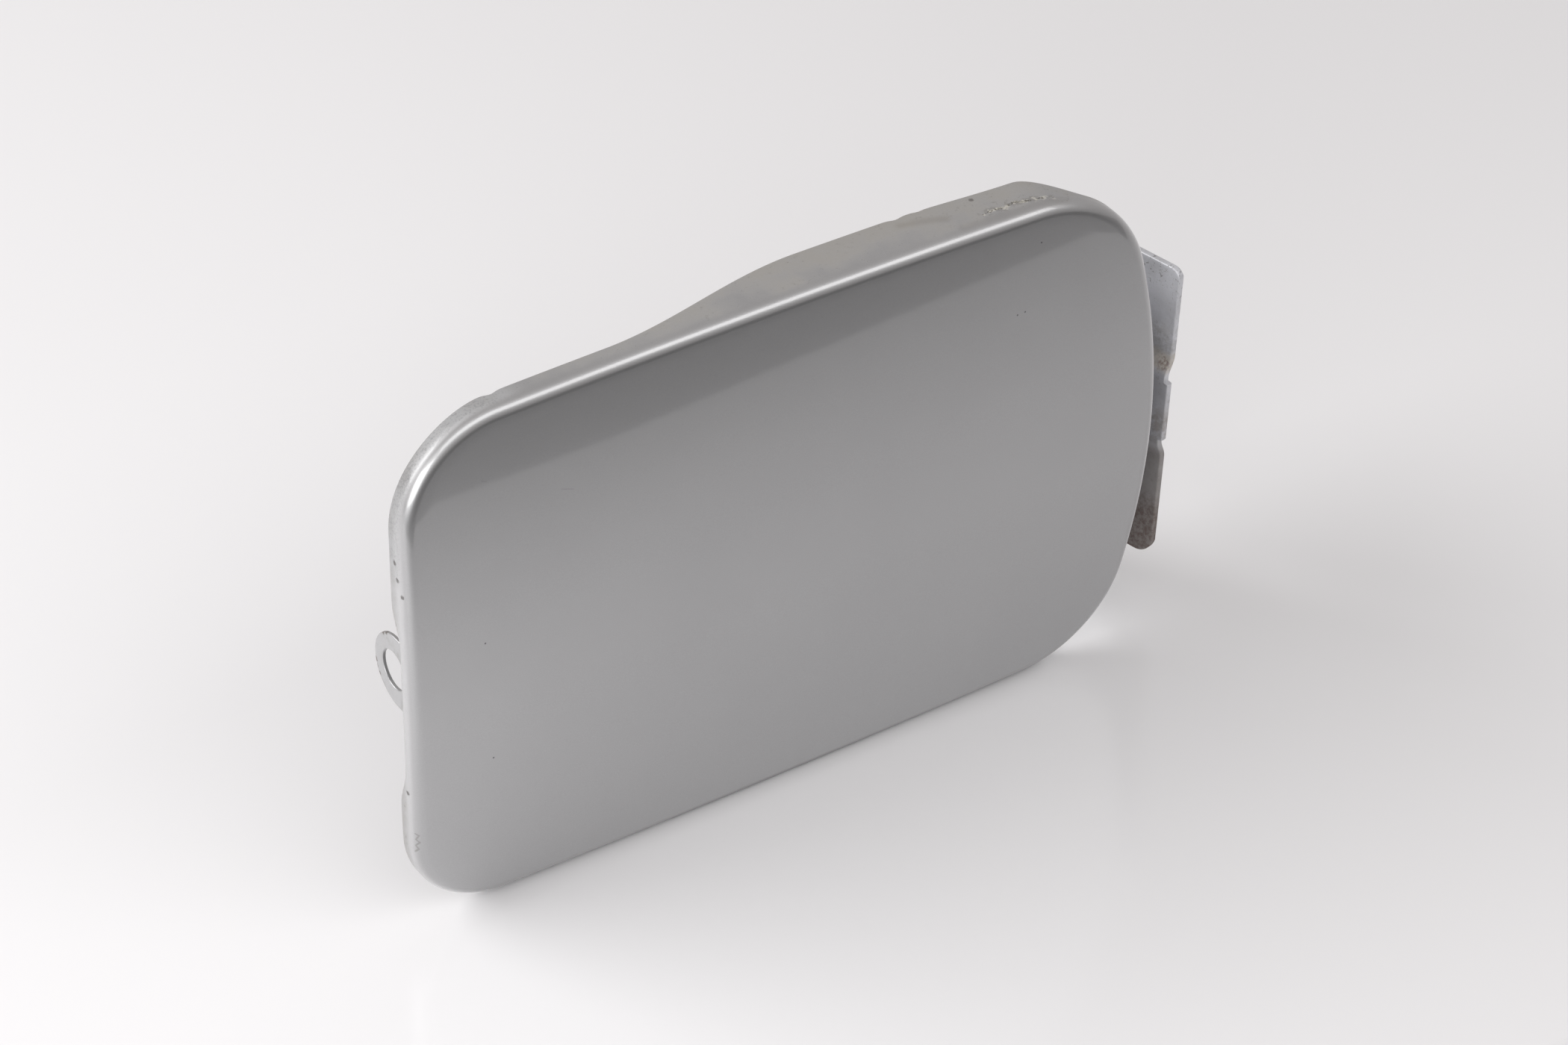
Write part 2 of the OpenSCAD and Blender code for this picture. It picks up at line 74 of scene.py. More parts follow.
class Finish:
    # One material and the calls that add nodes to it. Places on the piece are in millimetres.
    def __init__(self, name):
        self.material = bpy.data.materials.new(name)
        self.material.use_nodes = True
        self.tree = self.material.node_tree
        self.tree.nodes.clear()
        place = self.node("ShaderNodeTexCoord", output="Object")
        move = {"Vector": place, "Scale": (1 / mm, 1 / mm, 1 / mm), "Location": tuple(-home)}
        self.place = self.node("ShaderNodeMapping", inputs=move)
        axes = self.tree.nodes.new("ShaderNodeSeparateXYZ")
        self.tree.links.new(self.place.socket, axes.inputs[0])
        self.x, self.y, self.z = (Value(self, axes.outputs[k]) for k in range(3))

    # Any node: its settings come first, then the values or links of its sockets
    def node(self, kind, settings=None, inputs=None, output=0):
        made = self.tree.nodes.new(kind)
        for key, setting in (settings or {}).items():
            setattr(made, key, setting)
        for key, given in (inputs or {}).items():
            if isinstance(given, Value):
                self.tree.links.new(given.socket, made.inputs[key])
            else:
                made.inputs[key].default_value = given
        return Value(self, made.outputs[output]) if made.outputs else None

    def maths(self, operation, *given, clamp=False):
        settings = {"operation": operation, "use_clamp": clamp}
        return self.node("ShaderNodeMath", settings, dict(enumerate(given)))

    # 0 below low and 1 above high, with a soft change between; low above high turns it round
    def step(self, value, low, high):
        settings = {"interpolation_type": "SMOOTHSTEP"}
        inputs = {"Value": value, "From Min": low, "From Max": high}
        return self.node("ShaderNodeMapRange", settings, inputs)

    # The greatest of some values
    def most(self, *given):
        largest = given[0]
        for other in given[1:]:
            largest = self.maths("MAXIMUM", largest, other)
        return largest

    # 1 within the inner reach of a height and 0 beyond the outer reach
    def band(self, place, outer, inner):
        return self.step(self.maths("ABSOLUTE", self.z - place), outer, inner)

    # Cloudy pattern from 0 to 1; size is in features per millimetre
    def noise(self, size, detail=3.0, rough=0.5, stretch=None, shift=(0, 0, 0)):
        scale = stretch or (1, 1, 1)
        moved = {"Vector": self.place, "Scale": scale, "Location": shift}
        place = self.node("ShaderNodeMapping", inputs=moved)
        inputs = {"Vector": place, "Scale": size, "Detail": detail, "Roughness": rough}
        return self.node("ShaderNodeTexNoise", inputs=inputs)

    # That share of the way from the first colour to the second
    def mix(self, share, first, second):
        colours = {0: share, 6: first, 7: second}
        for key in (6, 7):
            if isinstance(colours[key], tuple):
                colours[key] = (*colours[key], 1)
        return self.node("ShaderNodeMix", {"data_type": "RGBA"}, colours, output=2)

    # Distance in millimetres from a line through the points
    def nearLine(self, points):
        nearest = None
        for start, end in zip(points[:-1], points[1:]):
            a, b = np.array(start, float), np.array(end, float)
            run = b - a
            scaled = run / (run @ run)
            dot = self.node("ShaderNodeVectorMath", {"operation": "DOT_PRODUCT"},
                            {0: self.place, 1: tuple(scaled)}, output="Value")
            along = self.maths("SUBTRACT", dot, float(a @ scaled), clamp=True)
            foot = self.node("ShaderNodeVectorMath", {"operation": "SCALE"}, {0: tuple(run), "Scale": along})
            foot = self.node("ShaderNodeVectorMath", {"operation": "ADD"}, {0: foot, 1: tuple(a)})
            away = self.node("ShaderNodeVectorMath", {"operation": "DISTANCE"},
                             {0: self.place, 1: foot}, output="Value")
            nearest = away if nearest is None else self.maths("MINIMUM", nearest, away)
        return nearest

    # Distance in millimetres from the nearest of some points
    def nearPoints(self, points):
        nearest = None
        for point in points:
            away = self.node("ShaderNodeVectorMath", {"operation": "DISTANCE"},
                             {0: self.place, 1: tuple(point)}, output="Value")
            nearest = away if nearest is None else self.maths("MINIMUM", nearest, away)
        return nearest

    def bump(self, height, strength, distance):
        inputs = {"Height": height, "Strength": strength, "Distance": distance}
        return self.node("ShaderNodeBump", inputs=inputs)

    def attribute(self, name):
        return self.node("ShaderNodeAttribute", {"attribute_name": name}, output="Fac")

    def close(self, inputs):
        shader = self.node("ShaderNodeBsdfPrincipled", inputs=inputs)
        self.node("ShaderNodeOutputMaterial", inputs={"Surface": shader})
        return self.material


# Sheet outlines and meshes

def smooth(low, high, value):
    # 3t² - 2t³ of the value's share t of the way from low to high
    t = np.clip((value - low) / (high - low), 0, 1)
    return t * t * (3 - 2 * t)


def mix(first, second, share):
    # That share of the way from first to second
    return first + (second - first) * share


def newPiece(name, points, quads, body, finish, inside=None):
    # A piece from points in millimetres; inside is 1 at the points of its hidden side
    mesh = bpy.data.meshes.new(name)
    mesh.from_pydata(((points + home) * mm).tolist(), [], quads)
    mesh.shade_smooth()
    mesh.set_sharp_from_angle(angle=math.radians(50))
    if inside is not None:
        given = mesh.attributes.new("inside", "FLOAT", "POINT")
        given.data.foreach_set("value", inside.astype(np.float32))
    mesh.materials.append(finish)
    piece = bpy.data.objects.new(name, mesh)
    bpy.context.scene.collection.objects.link(piece)
    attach(piece, body)
    return piece


def gridQuads(first, columns, rows, turned=False):
    # Quads of a grid of points stored column by column, from the point number first
    k, j = np.meshgrid(np.arange(columns - 1), np.arange(rows - 1), indexing="ij")
    corners = [k * rows + j, (k + 1) * rows + j, (k + 1) * rows + j + 1, k * rows + j + 1]
    quads = first + np.stack([c.ravel() for c in corners], axis=1)
    return (quads[:, ::-1] if turned else quads).tolist()


# Outer skin: four bowed sides and four corner arcs, a rolled edge and a return flange of uneven depth

door = {
    "width": 181.0,
    "height": 122.0,
    "sheet": 0.8,
    "rollRadius": 2.8,
    "crown": 1.6,
    "bowRadii": (161.0, 2500.0, 9000.0, 2000.0),  # hinge side, top, catch side, bottom
    "cornerRadii": (29.0, 23.0, 21.0, 27.0),  # top hinge, top catch, bottom catch, bottom hinge
    "shallowFlange": 5.5,
    "deepFlange": 12.8,
    "ramp": (-41.0, 7.0),
    "taper": (30.0, 1.2),  # where the deep flange starts to narrow again, and by how much
    "catchCorner": (1.0, 0.2),  # the depth changes over these shares of the corner's radius
    "hingeCorner": (1.09, 0.62),
    "catchFlange": 4.6,
    "reliefFlange": 0.8,  # behind the rolled edge
    "relief": (-5.0, 41.0, 10.0),  # rise of its middle, height, run at each end
    "hingeFlange": 4.6,
    "trimSteps": ((-67.0, -0.55, 1.4), (31.0, -0.5, 1.5), (36.5, -0.25, 1.2)),  # nicks: place, depth, width
    "pointsPerCorner": 44,
    "pointsPerLong": 180,
    "pointsPerShort": 56,
    "faceRings": (0.97, 0.03, 18),  # shares of the way to the middle, and their count
    "rollRings": (15, 9),  # outside and inside
    "flangeRings": (0.12, 1.0, 8),  # shares of the flange's depth, and their count
    "rimTurns": 8,
}
midHeight = door["height"] / 2

# Places are written in millimetres from the middle of the door's lower edge, in the plane of its rim.
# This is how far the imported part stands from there.
skinLow = np.array(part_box("outer_skin")[0]) / mm
home = skinLow - np.array((-door["width"] / 2, -door["crown"], 0))


def faceDepth(z):
    # -crown (1 - ((z - middle) / middle)²): the face bulges forward at its middle height
    return -door["crown"] * (1 - ((z - midHeight) / midHeight) ** 2)


def circlesMeet(c1, r1, c2, r2, near):
    # The crossing of two circles that lies nearest to a point
    d = np.linalg.norm(c2 - c1)
    a = (r1 * r1 - r2 * r2 + d * d) / (2 * d)
    h = math.sqrt(max(r1 * r1 - a * a, 0))
    u = (c2 - c1) / d
    side = h * np.array((-u[1], u[0]))
    return min((c1 + a * u + side, c1 + a * u - side), key=lambda p: np.linalg.norm(p - near))


def doorOutline():
    # Centre, radius and angle of each point around the outline; a point is centre + radius (cos, sin)
    w, h = door["width"], door["height"]
    hinge, top, catch, bottom = door["bowRadii"]
    middles = np.array([(w / 2 - hinge, h / 2), (0, h - top), (catch - w / 2, h / 2), (0, bottom)])
    outward = np.array([(w, h), (-w, h), (-w, 0), (w, 0)])
    corners = []
    for k in range(4):
        n = (k + 1) % 4
        before = door["bowRadii"][k] - door["cornerRadii"][k]
        beyond = door["bowRadii"][n] - door["cornerRadii"][k]
        corners.append(circlesMeet(middles[k], before, middles[n], beyond, outward[k]))

    def heading(middle, point):
        angle = math.atan2(point[1] - middle[1], point[0] - middle[0])
        return angle if angle > -1e-6 else angle + 2 * math.pi

    arcs = []
    for k in range(4):
        n = (k + 1) % 4
        start, end = heading(middles[k], corners[k]), heading(middles[n], corners[k])
        arcs.append((corners[k], door["cornerRadii"][k], start, end, door["pointsPerCorner"]))
        after = heading(middles[n], corners[n])
        if after < end:
            after += 2 * math.pi
        count = door["pointsPerShort"] if n % 2 == 0 else door["pointsPerLong"]
        arcs.append((middles[n], door["bowRadii"][n], end, after, count))
    centre = np.concatenate([np.tile(a[0], (a[4], 1)) for a in arcs])
    radius = np.concatenate([np.full(a[4], a[1]) for a in arcs])
    angle = np.concatenate([a[2] + (a[3] - a[2]) * np.arange(a[4]) / a[4] for a in arcs])
    return centre, radius, angle


def flangeDepth(x, z):
    # Long sides deepen along a ramp and narrow again; short sides are shallow, and relieved beside the eye
    edge = door["width"] / 2
    hingeSpan = [edge - share * door["cornerRadii"][0] for share in door["hingeCorner"]]
    catchSpan = [edge - share * door["cornerRadii"][1] for share in door["catchCorner"]]
    start, narrowing = door["taper"]
    long = mix(door["shallowFlange"], door["deepFlange"], smooth(*door["ramp"], x))
    long = long - narrowing * smooth(start, hingeSpan[0], x)
    for place, rise, run in door["trimSteps"]:
        away = (x - place) / run
        long = long + rise * np.exp(-away * away) * (z > midHeight)
    rise, height, run = door["relief"]
    off = np.abs(z - midHeight - rise)
    relieved = faceDepth(z) + door["rollRadius"] + door["reliefFlange"]
    catch = mix(relieved, door["catchFlange"], smooth((height - run) / 2, (height + run) / 2, off))
    short = np.where(x < 0, catch, door["hingeFlange"])
    return mix(long, short, np.where(x < 0, smooth(*catchSpan, -x), smooth(*hingeSpan, x)))


def skinPoints():
    # Rings from the middle of the face, over the roll, along the flange, round its edge and back inside
    centre, radius, angle = doorOutline()
    spoke = np.stack([np.cos(angle), np.sin(angle)], axis=1)
    sheet, roll = door["sheet"], door["rollRadius"]

    def outline(inset):
        return centre + (radius - inset)[:, None] * spoke

    def ring(xz, y):
        return np.stack([xz[:, 0], y, xz[:, 1]], axis=1)

    def faceRing(share, rise):
        xz = mix(outline(roll), np.array((0, midHeight)), share)
        return ring(xz, faceDepth(xz[:, 1]) + rise)

    def rollRing(wall, turn):
        xz = outline(wall + (roll - wall) * (1 - math.sin(turn)))
        return ring(xz, faceDepth(xz[:, 1]) + wall + (roll - wall) * (1 - math.cos(turn)))

    edge = outline(0)
    depth = flangeDepth(edge[:, 0], edge[:, 1])
    half = sheet / 2

    def flangeRing(inset, share):
        xz = outline(inset)
        start = faceDepth(xz[:, 1]) + roll
        return ring(xz, mix(start, depth - half, share))

    faceShares = np.linspace(*door["faceRings"])
    flangeShares = np.linspace(*door["flangeRings"])
    outsideTurns, insideTurns = (np.linspace(0, math.pi / 2, count) for count in door["rollRings"])
    rings = [faceRing(s, 0) for s in faceShares]
    rings += [rollRing(0, t) for t in outsideTurns]
    rings += [flangeRing(0, s) for s in flangeShares]
    for turn in np.linspace(0, math.pi, door["rimTurns"])[1:-1]:
        rings.append(ring(outline(half - half * math.cos(turn)), depth - half + half * math.sin(turn)))
    outerCount = len(rings)
    rings += [flangeRing(sheet, s) for s in flangeShares[::-1]]
    rings += [rollRing(sheet, t) for t in insideTurns[::-1]]
    rings += [faceRing(s, sheet) for s in faceShares[::-1]]
    return np.array(rings), outerCount


def buildSkin(finish):
    # The rings joined by quads, closed by a point in the middle of the face's front and of its back
    rings, outerCount = skinPoints()
    count, around = rings.shape[:2]
    poles = np.array([(0, faceDepth(midHeight) + rise, midHeight) for rise in (0, door["sheet"])])
    points = np.concatenate([rings.reshape(-1, 3), poles])
    quads = gridQuads(0, count, around, turned=True)
    columns = np.arange(count - 1)
    last = around - 1
    quads += np.stack([columns * around, (columns + 1) * around, (columns + 1) * around + last,
                       columns * around + last], axis=1).tolist()
    k = np.arange(around)
    after = (k + 1) % around
    size = count * around
    quads += np.stack([np.full(around, size), k, after], axis=1).tolist()
    start = (count - 1) * around
    quads += np.stack([np.full(around, size + 1), start + after, start + k], axis=1).tolist()
    inside = np.zeros(len(points))
    inside[outerCount * around:size] = 1
    inside[size + 1] = 1
    skin = newPiece("pressed_skin", points, quads, "door", finish, inside)
    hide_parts("outer_skin")
    return skin


# Hinge arm: one bent sheet, with a seat pressed into its last leg

arm = {
    "sheet": 1.5,
    "bottom": 12.0,
    "height": 76.4,
    "padLength": 52.0,
    "riserInset": 14.5,
    "riserLean": 3.0,
    "bridgeDepth": 34.0,
    "bendRadius": 4.0,
    "legGap": 10.2,
    "legEdgeDepth": 6.7,
    "legFlare": 12.4,
    "edgeLean": 2.0,
    "topCorner": 2.5,
    "bottomCorner": 5.0,
    "seatRise": 40.6,
    "seatHeight": 16.8,
    "seatSlope": 5.0,
    "seatLength": 14.0,
    "seatRun": 4.0,
    "tabLength": 1.0,
    "tabInset": 0.9,
    "tabStep": 0.3,
    "edgeRadius": 0.3,
    "weldGap": 0.03,
    "rimSteps": (0, 0.04, 0.12, 0.3),  # distances of the points next to a cut edge
    "padPoints": 34,
    "bendPoints": 11,
    "riserPoints": 14,
    "bridgePoints": 5,
    "legPoints": 44,
    "legCornerPoints": 24,
    "flatRows": 30,
    "slopeRows": 20,
    "stepRows": 15,
    "seatRows": 10,
    "weldColumns": (36.0, 58.0),
    "weldRows": (24.0, 49.5, 75.0),
}
armTop = arm["bottom"] + arm["height"]
seatMiddle = arm["bottom"] + arm["seatRise"]
flare = math.radians(arm["legFlare"])
legStart = np.array((door["width"] / 2 + arm["legGap"], arm["legEdgeDepth"]))
legBack = np.array((-math.sin(flare), math.cos(flare)))
legOut = np.array((math.cos(flare), math.sin(flare)))
legLength = (arm["bridgeDepth"] - arm["legEdgeDepth"]) / math.cos(flare)
rimSteps = np.array(arm["rimSteps"])
rimEnd = arm["rimSteps"][-1]


def bendPoints(before, corner, after, radius, count):
    # Points on the arc of that radius that rounds a corner
    u, w = (v / np.linalg.norm(v) for v in (before - corner, after - corner))
    half = math.acos(u @ w) / 2
    middle = corner + (u + w) / np.linalg.norm(u + w) * radius / math.sin(half)
    ends = [corner + v * radius / math.tan(half) - middle for v in (u, w)]
    start, stop = (math.atan2(e[1], e[0]) for e in ends)
    sweep = (stop - start + math.pi) % (2 * math.pi) - math.pi
    turn = start + sweep * np.linspace(0, 1, count)
    return middle + radius * np.stack([np.cos(turn), np.sin(turn)], axis=1)


def straight(first, last, count):
    # Points spaced evenly between two others
    return mix(np.asarray(first), np.asarray(last), np.linspace(0, 1, count)[1:-1, None])


def armStations():
    # Middle line of the sheet from the pad's end to the start of the flat leg, with its normals
    riserX = door["width"] / 2 - arm["riserInset"]
    lie = door["sheet"] + arm["weldGap"] + arm["sheet"] / 2
    corners = [np.array(p) for p in (
        (riserX - arm["padLength"], lie), (riserX, lie), (riserX + arm["riserLean"], arm["bridgeDepth"]),
        legStart + legLength * legBack - arm["sheet"] / 2 * legOut, legStart - arm["sheet"] / 2 * legOut)]
    radius = arm["bendRadius"] - arm["sheet"] / 2
    bends = [bendPoints(*corners[k - 1:k + 2], radius, arm["bendPoints"]) for k in (1, 2, 3)]
    rim = corners[0] + rimSteps[:, None] * np.array((1, 0))
    pad = straight(rim[-1], bends[0][0], arm["padPoints"])
    riser = straight(bends[0][-1], bends[1][0], arm["riserPoints"])
    bridge = straight(bends[1][-1], bends[2][0], arm["bridgePoints"])
    line = np.concatenate([rim, pad, bends[0], riser, bends[1], bridge, bends[2]])
    ahead = np.diff(np.concatenate([line, corners[4][None]]), axis=0)
    ahead /= np.linalg.norm(ahead, axis=1)[:, None]
    mean = ahead + np.concatenate([ahead[:1], ahead[:-1]])
    mean /= np.linalg.norm(mean, axis=1)[:, None]
    normal = np.stack([-mean[:, 1], mean[:, 0]], axis=1)
    follow = 1 - smooth(arm["bendRadius"], arm["bridgeDepth"] - arm["bendRadius"], line[:, 1])
    follow = follow * (line[:, 0] < riserX + arm["riserLean"])
    rimDistance = line[:, 0] - corners[0][0]
    legEnd = np.dot(bends[2][-1] - legStart, legBack)
    return line, normal, follow, rimDistance, legEnd


def armRows():
    # Heights of the points, close together at the ends, the seat's slopes and the steps of its edge
    half, slope = arm["seatHeight"] / 2, arm["seatSlope"]
    tab, step = half - arm["tabInset"], arm["tabStep"]
    flatLow = np.linspace(rimEnd, seatMiddle - half - slope - arm["bottom"], arm["flatRows"])[1:]
    low = np.concatenate([rimSteps, flatLow]) + arm["bottom"]
    slopeRows = np.linspace(half + slope, half, arm["slopeRows"])[1:]
    besideTab = np.linspace(half - 0.2, tab + step + 0.1, 3)
    overStep = np.linspace(tab + step, tab - step - 0.1, arm["stepRows"])
    seat = seatMiddle - np.concatenate([slopeRows, besideTab, overStep])
    flat = np.linspace(seat[-1], seatMiddle, arm["seatRows"])[1:]
    lower = np.concatenate([low, seat, flat])
    upper = 2 * seatMiddle - np.concatenate([seat, flat[:-1]])[::-1]
    high = np.linspace(seatMiddle + half + slope, armTop - rimEnd, arm["flatRows"])[:-1]
    return np.concatenate([lower, upper, high, armTop - rimSteps[::-1]])


def roundedRim(distance):
    # Half the sheet's thickness, less near a cut edge, where a small arc rounds it
    r = arm["edgeRadius"]
    near = np.clip(distance, 0, r)
    return arm["sheet"] / 2 - r + np.sqrt(np.maximum(r * r - (r - near) ** 2, 0))


def cornerDrop(radius, s):
    # How far a corner's arc lies inside the straight edge: r - sqrt(r² - (r - s)²)
    return np.where(s < radius, radius - np.sqrt(np.maximum(radius ** 2 - (radius - s) ** 2, 0)), 0)


def armSides():
    # Two grids of points: the sheet's middle plus and minus half its thickness, less at the rim
    line, normal, follow, rimDistance, legEnd = armStations()
    rows = armRows()
    z = np.broadcast_to(rows, (len(line), len(rows)))
    rise = np.minimum(z - arm["bottom"], armTop - z)
    half = roundedRim(np.minimum(rimDistance[:, None], rise))
    bodyMiddle = np.stack([np.broadcast_to(line[:, :1], z.shape),
                           line[:, 1:2] + follow[:, None] * faceDepth(z)], axis=2)
    bodyNormal = np.broadcast_to(normal[:, None], (*z.shape, 2))

    # The leg: s runs back from its free edge
    turns = np.linspace(math.pi / 2, math.radians(4), arm["legCornerPoints"])
    corner = arm["bottomCorner"] * (1 - np.sin(turns))
    corner = corner[corner > rimEnd + 0.05]
    beyond = np.linspace(arm["bottomCorner"], legEnd, arm["legPoints"])
    s = np.concatenate([rimSteps, corner, beyond])
    s = np.unique(np.round(s, 4))[::-1][1:, None]
    seatHalf, slope = arm["seatHeight"] / 2, arm["seatSlope"]
    lowEnd, highEnd = seatMiddle - seatHalf - slope, seatMiddle + seatHalf + slope
    level = rows[None, :]
    closeLow = np.clip((lowEnd - level) / (lowEnd - arm["bottom"]), 0, None)
    closeHigh = np.clip((level - highEnd) / (armTop - highEnd), 0, None)
    dropLow, dropHigh = cornerDrop(arm["bottomCorner"], s), cornerDrop(arm["topCorner"], s)
    legZ = level + dropLow * closeLow - dropHigh * closeHigh
    off = np.abs(legZ - seatMiddle)
    depth = arm["sheet"] * (1 - smooth(arm["seatLength"], arm["seatLength"] + arm["seatRun"], s))
    depth = depth * (1 - smooth(seatHalf, seatHalf + slope, off))
    step = arm["tabStep"] / 2
    tabHalf = seatHalf - arm["tabInset"]
    tab = arm["tabLength"] * (1 - smooth(tabHalf - step, tabHalf + step, off))
    lean = math.tan(math.radians(arm["edgeLean"])) * (arm["bottom"] + arm["height"] / 2 - legZ)
    shift = lean * (1 - s / legLength) - tab * (1 - smooth(0, arm["bottomCorner"], s))
    place = legStart + (s + shift)[..., None] * legBack - (arm["sheet"] / 2 + depth)[..., None] * legOut
    edges = np.minimum(np.minimum(legZ - legZ[:, :1], legZ[:, -1:] - legZ), s)
    legHalf = roundedRim(edges)
    middle = np.concatenate([bodyMiddle, place])
    across = np.concatenate([bodyNormal, np.broadcast_to(legOut, (*legZ.shape, 2))])
    half = np.concatenate([half, legHalf])
    height = np.concatenate([z, legZ])
    sides = [middle + side * half[..., None] * across for side in (1, -1)]
    return [np.stack([p[..., 0], p[..., 1], height], axis=2) for p in sides]


def buildArm(finish):
    # Both grids and a strip of quads along each of their four edges
    outer, inner = armSides()
    columns, rows = outer.shape[:2]
    points = np.concatenate([outer.reshape(-1, 3), inner.reshape(-1, 3)])
    size = columns * rows
    quads = gridQuads(0, columns, rows, turned=True) + gridQuads(size, columns, rows)
    k = np.arange(columns - 1)
    low, high = k * rows, k * rows + rows - 1
    quads += np.stack([low, low + rows, low + rows + size, low + size], axis=1).tolist()
    quads += np.stack([high + rows, high, high + size, high + rows + size], axis=1).tolist()
    j = np.arange(rows - 1)
    far = (columns - 1) * rows + j
    quads += np.stack([j + 1, j, j + size, j + 1 + size], axis=1).tolist()
    quads += np.stack([far, far + 1, far + 1 + size, far + size], axis=1).tolist()
    inside = np.concatenate([np.zeros(size), np.ones(size)])
    piece = newPiece("gooseneck_arm", points, quads, "door", finish, inside)
    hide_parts("hinge_arm")
    return piece


# Small pieces: the CAD solid, merged, with its edges broken

# node: piece name, body, material slot, width of the broken edge
smallPieces = {
    "catch_bracket": ("catch_eye", "door", "silver_paint", 0.18),
    "hinge_knuckle": ("rolled_knuckle", "door", "plated_steel", 0.2),
    "hinge_base": ("eared_base", "hinge_base", "plated_steel", 0.25),
    "hinge_pin": ("headed_pin", "hinge_base", "plated_steel", 0.25),
    "pin_clip": ("push_clip", "hinge_base", "plated_steel", 0.15),
    "check_spring": ("leaf_spring", "hinge_base", "spring_steel", 0.08),
    "spring_rivet": ("rivet", "hinge_base", "plated_steel", 0.25),
}
edgeLimits = {
    "merge": 2e-6,  # metres between points that become one
    "flat": 0.6,  # degrees between faces that are joined
    "sharp": 35,
    "bevelled": 40,
    "segments": 3,
}


def brokenEdges(node, name, body, width, finish):
    # The node's triangles are merged, flat faces are joined, and a bevel of that width breaks the edges
    made = bmesh.new()
    made.from_mesh(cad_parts[node].data)
    bmesh.ops.remove_doubles(made, verts=made.verts, dist=edgeLimits["merge"])
    flat = math.radians(edgeLimits["flat"])
    bmesh.ops.dissolve_limit(made, angle_limit=flat, verts=made.verts, edges=made.edges)
    bmesh.ops.recalc_face_normals(made, faces=made.faces)
    mesh = bpy.data.meshes.new(name)
    made.to_mesh(mesh)
    made.free()
    mesh.shade_smooth()
    mesh.set_sharp_from_angle(angle=math.radians(edgeLimits["sharp"]))
    mesh.materials.append(finish)
    piece = bpy.data.objects.new(name, mesh)
    bpy.context.scene.collection.objects.link(piece)
    bevel = piece.modifiers.new("broken edges", "BEVEL")
    bevel.width = width * mm
    bevel.segments = edgeLimits["segments"]
    bevel.limit_method = "ANGLE"
    bevel.angle_limit = math.radians(edgeLimits["bevelled"])
    bevel.harden_normals = False
    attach(piece, body)
    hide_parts(node)
    return piece


# Finishes

# Lines and points of wear on the door, of a painted glint and of a painted contact shade, in millimetres
wear = {
    "crack": [(47.0, 4.6, 121.5), (50.0, 4.8, 121.5), (52.5, 4.3, 121.4), (54.8, 5.2, 121.4),
              (57.0, 4.1, 121.4), (60.5, 3.8, 121.3), (62.5, 3.3, 121.2), (64.5, 2.2, 121.1),
              (67.5, 1.6, 120.9)],
    "stain": [(41.0, 2.6, 121.6), (53.0, 2.0, 121.4), (66.0, 1.5, 121.0)],
    "smudge": [(30.5, 9.8, 121.8), (35.3, 8.7, 121.8), (39.5, 7.2, 121.7)],
    "squiggle": [(-89.96, 0.1, 25.6), (-89.44, -0.44, 25.2), (-89.88, 0.05, 24.1), (-89.34, -0.45, 23.4),
                 (-89.90, 0.13, 22.5), (-89.49, -0.27, 21.6), (-90.02, 0.35, 20.8)],
    "edgeChips": [(-90.5, 1.6, 88.4), (-90.5, 0.2, 84.9), (-90.5, 1.4, 35.5), (69.5, 1.2, 120.6),
                  (-90.5, 2.4, 92.0), (48.1, 10.2, 121.5)],
    "specks": [(-73.5, -1.6, 67.9), (52.7, -1.0, 98.3), (54.6, -1.0, 98.4), (-72.4, -1.4, 38.4),
               (58.3, -0.4, 113.6)],
    "eyeChips": [(-88.2, 11.4, 68.6), (-88.2, 12.6, 67.7), (-88.2, 16.1, 58.8), (-88.2, 15.7, 57.2),
                 (-88.2, 15.0, 55.9)],
    # painted highlight: a yellowish glint on the rolled edge
    "glint": [(-79.2, 0.4, 118.3), (-77.8, 0.2, 118.9)],
    "scratches": [[(-55.2, -1.0, 97.6), (-52.6, -1.0, 96.6)], [(-72.6, -0.7, 106.2), (-71.6, -0.7, 105.8)]],
    "cornerAcross": (-58.0, -72.0),  # where the speckled corner starts and where it is full
    "cornerUp": (84.0, 98.0),
    "foot": (2.6, 1.2),  # top of the painted contact shade above the table, and the height below which it is full
}


